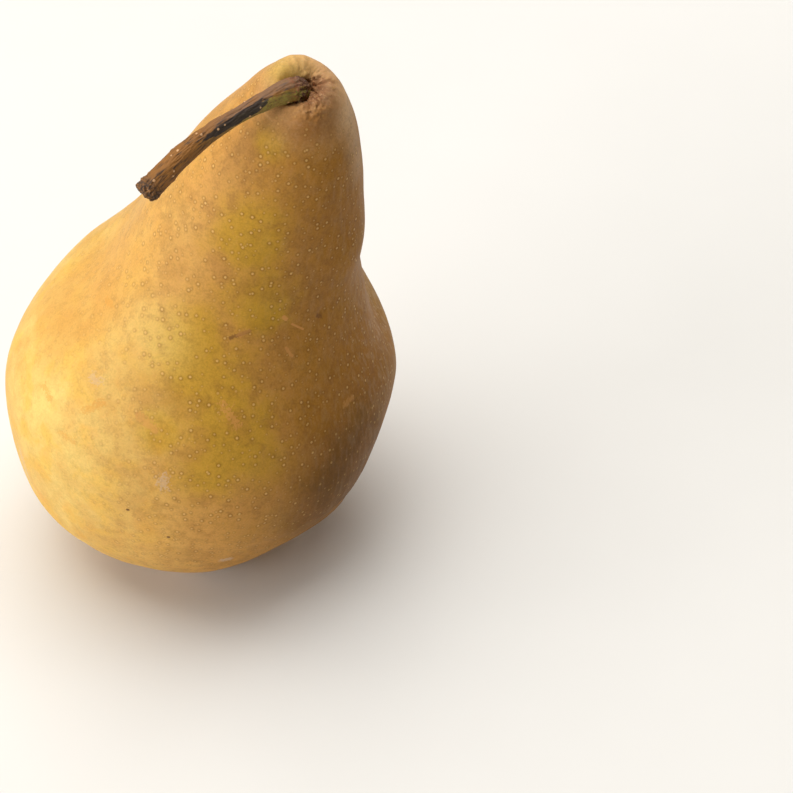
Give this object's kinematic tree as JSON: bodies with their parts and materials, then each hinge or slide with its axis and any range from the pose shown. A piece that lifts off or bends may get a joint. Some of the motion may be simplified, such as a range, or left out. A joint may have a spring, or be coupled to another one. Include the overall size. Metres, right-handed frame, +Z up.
{
  "type": "pear",
  "caption": "Fresh long-necked russet pear with an arched woody stem, standing upright on the lobed rim round its eye, to set on a plate, table or shelf.",
  "frame": {"origin": "middle of the underside of the whole pear's bounding box, on the surface that it stands on and under the lobed rim round its eye", "axes": "+Z up from the eye towards the tip, +X to the side that the neck leans to, -Y towards the front, which the stem reaches over"},
  "size_m": [0.0792, 0.078, 0.1224],
  "materials": {
    "skin": "thin russet skin over ochre yellow and olive green, satin, freckled with fine pale dots",
    "stem_bark": "brown bark, dull, with pale dots, a dark streak and a rough broken end",
    "calyx_dry": "dry dark brown, matte and brittle"
  },
  "bodies": {
    "root": {"fruit": "skin", "stem": "stem_bark", "calyx": "calyx_dry"}
  },
  "joints": []
}
